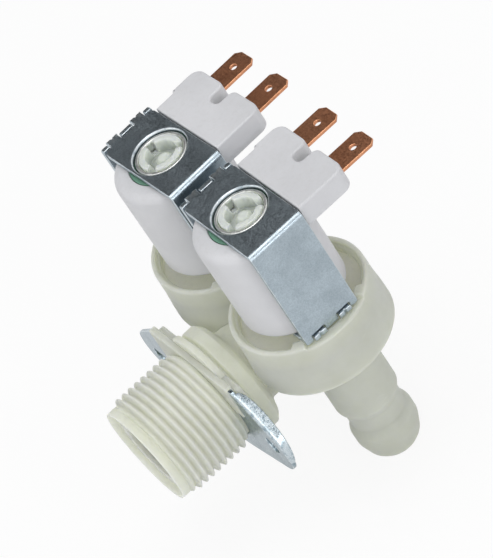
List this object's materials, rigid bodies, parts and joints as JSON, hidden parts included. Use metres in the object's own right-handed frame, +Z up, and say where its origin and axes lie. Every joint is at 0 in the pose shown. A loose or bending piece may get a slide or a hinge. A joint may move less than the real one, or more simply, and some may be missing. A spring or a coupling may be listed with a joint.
{
  "type": "dishwasher double solenoid inlet valve",
  "caption": "Water inlet valve with a threaded inlet, a steel fixing bracket and upright solenoid coils side by side, each opening a diaphragm to its own hose outlet.",
  "frame": {"origin": "on the inlet's axis, in the front face of the bracket that meets the machine's panel", "axes": "+Z up along the coils, away from the hose outlets; -Y along the inlet towards its mouth; +X from the far coil to the near coil"},
  "size_m": [0.0644, 0.0736, 0.0788],
  "materials": {
    "valve_body": "moulded glass-filled nylon, slightly translucent",
    "mounting_bracket": "bright zinc plated steel",
    "inlet_strainer": "moulded",
    "flow_washer": "moulded rubber",
    "flow_washer_holder": "moulded",
    "near_guide_tube": "moulded nylon",
    "near_diaphragm": "moulded rubber",
    "near_diaphragm_insert": "moulded",
    "near_plunger": "turned magnetic stainless steel",
    "near_plunger_seal": "moulded rubber",
    "near_return_spring": "stainless spring wire",
    "near_bobbin": "moulded green plastic",
    "near_winding": "enamelled copper wire as one body",
    "near_coil_jacket": "white moulded plastic",
    "near_upper_sleeve": "rolled zinc plated steel",
    "near_lower_sleeve": "rolled zinc plated steel",
    "near_upper_yoke": "folded zinc plated sheet steel",
    "near_lower_yoke": "folded zinc plated sheet steel",
    "near_terminal_left": "stamped copper alloy",
    "near_terminal_right": "stamped copper alloy",
    "far_guide_tube": "moulded nylon",
    "far_diaphragm": "moulded rubber",
    "far_diaphragm_insert": "moulded",
    "far_plunger": "turned magnetic stainless steel",
    "far_plunger_seal": "moulded rubber",
    "far_return_spring": "stainless spring wire",
    "far_bobbin": "moulded green plastic",
    "far_winding": "enamelled copper wire as one body",
    "far_coil_jacket": "white moulded plastic",
    "far_upper_sleeve": "rolled zinc plated steel",
    "far_lower_sleeve": "rolled zinc plated steel",
    "far_upper_yoke": "folded zinc plated sheet steel",
    "far_lower_yoke": "folded zinc plated sheet steel",
    "far_terminal_left": "stamped copper alloy",
    "far_terminal_right": "stamped copper alloy"
  },
  "bodies": {
    "valve": {"valve_body": "valve_body", "mounting_bracket": "mounting_bracket", "inlet_strainer": "inlet_strainer", "flow_washer": "flow_washer", "flow_washer_holder": "flow_washer_holder", "near_guide_tube": "near_guide_tube", "near_diaphragm": "near_diaphragm", "near_return_spring": "near_return_spring", "near_bobbin": "near_bobbin", "near_winding": "near_winding", "near_coil_jacket": "near_coil_jacket", "near_upper_sleeve": "near_upper_sleeve", "near_lower_sleeve": "near_lower_sleeve", "near_upper_yoke": "near_upper_yoke", "near_lower_yoke": "near_lower_yoke", "near_terminal_left": "near_terminal_left", "near_terminal_right": "near_terminal_right", "far_guide_tube": "far_guide_tube", "far_diaphragm": "far_diaphragm", "far_return_spring": "far_return_spring", "far_bobbin": "far_bobbin", "far_winding": "far_winding", "far_coil_jacket": "far_coil_jacket", "far_upper_sleeve": "far_upper_sleeve", "far_lower_sleeve": "far_lower_sleeve", "far_upper_yoke": "far_upper_yoke", "far_lower_yoke": "far_lower_yoke", "far_terminal_left": "far_terminal_left", "far_terminal_right": "far_terminal_right"},
    "near_plunger_body": {"near_plunger": "near_plunger", "near_plunger_seal": "near_plunger_seal"},
    "near_diaphragm_body": {"near_diaphragm_insert": "near_diaphragm_insert"},
    "far_plunger_body": {"far_plunger": "far_plunger", "far_plunger_seal": "far_plunger_seal"},
    "far_diaphragm_body": {"far_diaphragm_insert": "far_diaphragm_insert"}
  },
  "joints": [
    {"name": "near_plunger_lift", "type": "slide", "parent": "valve", "child": "near_plunger_body", "axis": [0, 0, 1], "range_m": [0, 0.0025], "stiffness_N_per_m": 120, "springref_m": -0.005, "deforming": ["near_return_spring"]},
    {"name": "near_diaphragm_lift", "type": "slide", "parent": "valve", "child": "near_diaphragm_body", "axis": [0, 0, 1], "range_m": [0, 0.0015], "deforming": ["near_diaphragm"]},
    {"name": "far_plunger_lift", "type": "slide", "parent": "valve", "child": "far_plunger_body", "axis": [0, 0, 1], "range_m": [0, 0.0025], "stiffness_N_per_m": 120, "springref_m": -0.005, "deforming": ["far_return_spring"]},
    {"name": "far_diaphragm_lift", "type": "slide", "parent": "valve", "child": "far_diaphragm_body", "axis": [0, 0, 1], "range_m": [0, 0.0015], "deforming": ["far_diaphragm"]}
  ],
  "couplings": [
    {"joint": "near_diaphragm_lift", "follows": "near_plunger_lift", "ratio": 0.6},
    {"joint": "far_diaphragm_lift", "follows": "far_plunger_lift", "ratio": 0.6}
  ]
}
